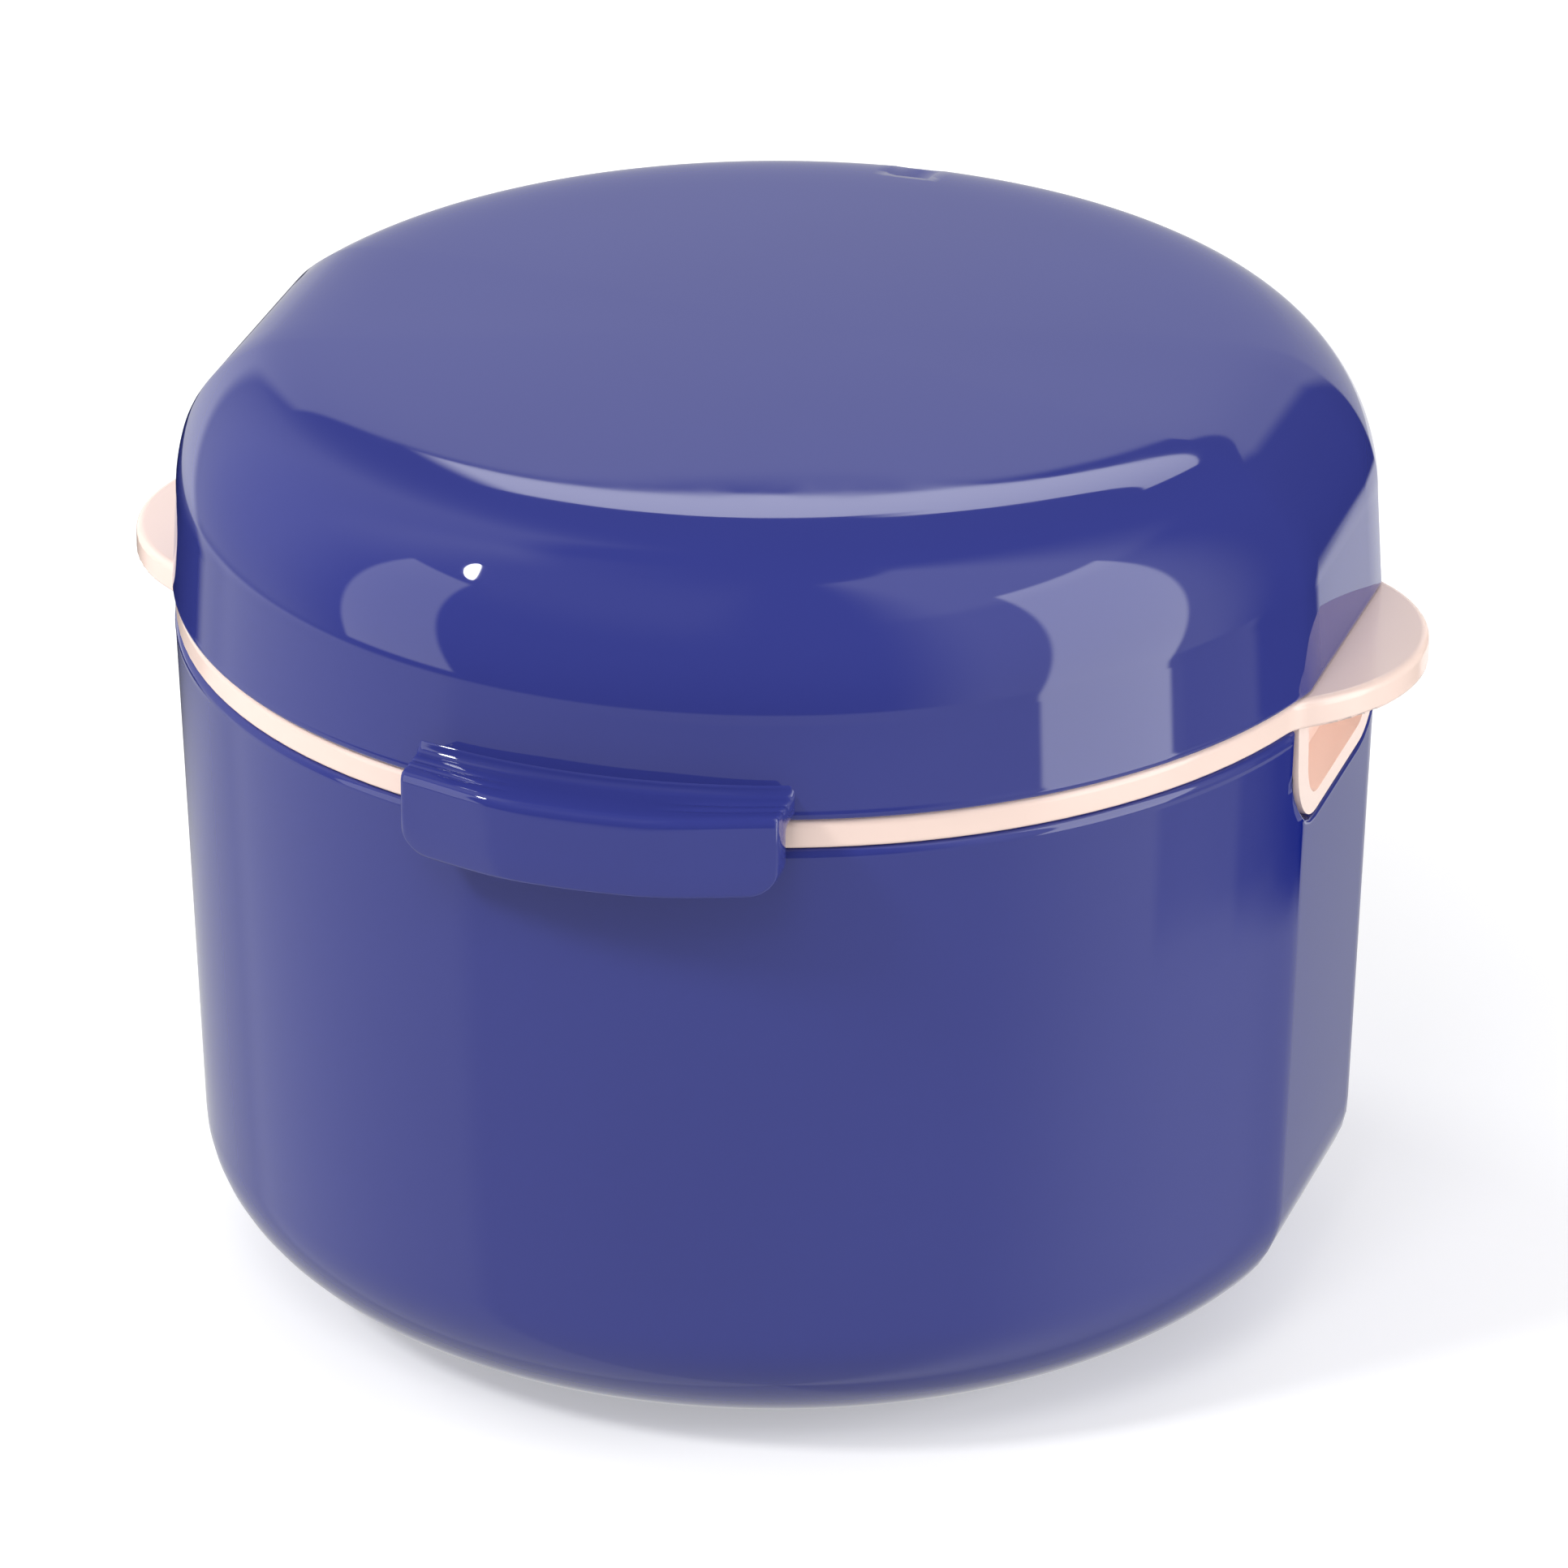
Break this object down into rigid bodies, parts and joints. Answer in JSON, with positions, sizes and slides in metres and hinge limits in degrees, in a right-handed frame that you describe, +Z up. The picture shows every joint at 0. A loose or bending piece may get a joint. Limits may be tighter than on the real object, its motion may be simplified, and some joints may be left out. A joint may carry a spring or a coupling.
{
  "type": "denture case",
  "caption": "Round denture soaking case with a deep cup, a lift-out strainer basket with side handles, a hinged domed lid and a front latch flap.",
  "frame": {"origin": "centre of the cup's flat base, on the case's vertical axis", "axes": "+Z is up out of the cup; -Y is the front, with the latch; +Y is the rear, with the hinge; the handles point along +X and -X"},
  "size_m": [0.0992, 0.1004, 0.0731],
  "materials": {
    "navy_plastic": "smooth semi-gloss moulded plastic, dark blue",
    "peach_plastic": "smooth semi-gloss moulded plastic, pale peach"
  },
  "bodies": {
    "cup": {"cup": "navy_plastic"},
    "basket": {"strainer_basket": "peach_plastic"},
    "lid": {"lid": "navy_plastic", "hinge_pin": "navy_plastic"},
    "latch": {"latch_flap": "navy_plastic"}
  },
  "joints": [
    {"name": "basket_lift", "type": "slide", "parent": "cup", "child": "basket", "axis": [0, 0, 1], "range_m": [0, 0.05]},
    {"name": "lid_hinge", "type": "hinge", "parent": "basket", "child": "lid", "pos_m": [0, 0.0482, 0.05445], "axis": [-1, 0, 0], "range_deg": [0, 120]},
    {"name": "latch_flex", "type": "hinge", "parent": "lid", "child": "latch", "pos_m": [0, -0.0462, 0.05485], "axis": [-1, 0, 0], "range_deg": [0, 12], "stiffness_Nm_per_rad": 0.05}
  ]
}
